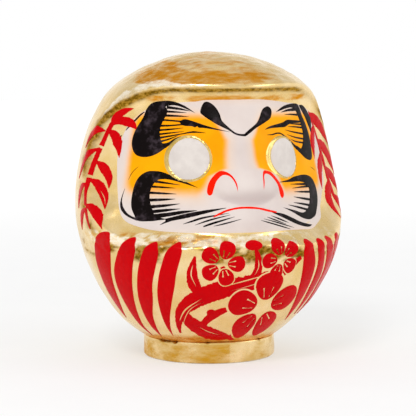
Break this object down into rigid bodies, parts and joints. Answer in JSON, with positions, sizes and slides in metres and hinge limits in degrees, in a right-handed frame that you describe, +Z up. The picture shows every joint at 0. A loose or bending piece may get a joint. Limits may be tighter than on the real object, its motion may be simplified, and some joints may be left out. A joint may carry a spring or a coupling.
{
  "type": "daruma doll",
  "caption": "Round roly-poly papier-mache doll with a recessed painted face, a hollow shell and a weighted foot.",
  "frame": {"origin": "centre of the foot's underside, on the surface the doll stands on", "axes": "+Z up to the crown, the face looks along -Y, +X is to the right as you look at the face from the front"},
  "size_m": [0.2106, 0.2097, 0.24],
  "materials": {
    "gilt_paper": "gold lacquer over papier-mache, satin to glossy",
    "face_white": "smooth semi-matt shell-white paint",
    "ink_black": "glossy black lacquer",
    "red_enamel": "glossy red enamel",
    "foot_card": "gold lacquer on board, rubbed",
    "raw_board": "uncoated grey-brown board",
    "fired_clay": "dry unglazed clay",
    "base_paper": "plain handmade paper"
  },
  "bodies": {
    "root": {"body_shell": "gilt_paper", "back_seam_strip": "gilt_paper", "foot_ring": "foot_card", "base_board": "raw_board", "clay_weight": "fired_clay", "bottom_paper": "base_paper"}
  },
  "joints": []
}
